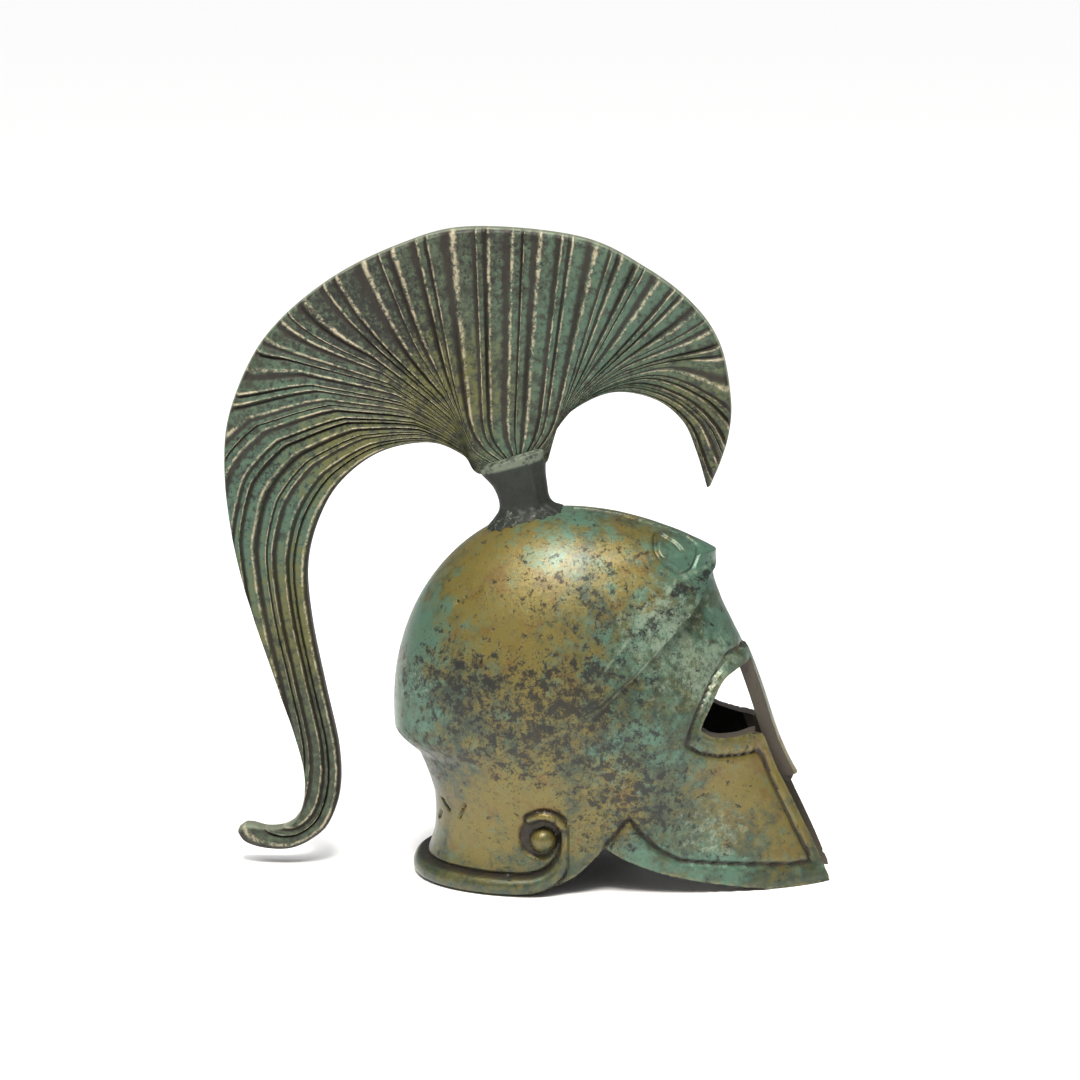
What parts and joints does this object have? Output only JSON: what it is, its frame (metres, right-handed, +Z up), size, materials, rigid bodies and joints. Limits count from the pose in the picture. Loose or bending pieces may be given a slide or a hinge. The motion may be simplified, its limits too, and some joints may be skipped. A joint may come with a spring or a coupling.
{
  "type": "greek bronze helmet",
  "caption": "Small cast bronze Greek helmet with face opening, nasal, cheek guards and neck guard, and a tall fan-shaped crest with a long tail; stands on its rim and cheek guards.",
  "frame": {"origin": "on the surface that the helmet stands on, under the middle of its box", "axes": "+X is the way the helmet faces, +Y is its own left side, +Z is up through the crest"},
  "size_m": [0.1404, 0.055, 0.1506],
  "materials": {
    "helmet_bronze": "satin cast bronze, mottled ochre, turquoise and near-black patina, waxed",
    "crest_bronze": "satin cast bronze, dark green patina with brown grooves and rubbed tan ridges",
    "pin_bronze": "plain dull bronze"
  },
  "bodies": {
    "root": {"helmet_shell": "helmet_bronze", "crest": "crest_bronze", "crest_pin": "pin_bronze"}
  },
  "joints": []
}
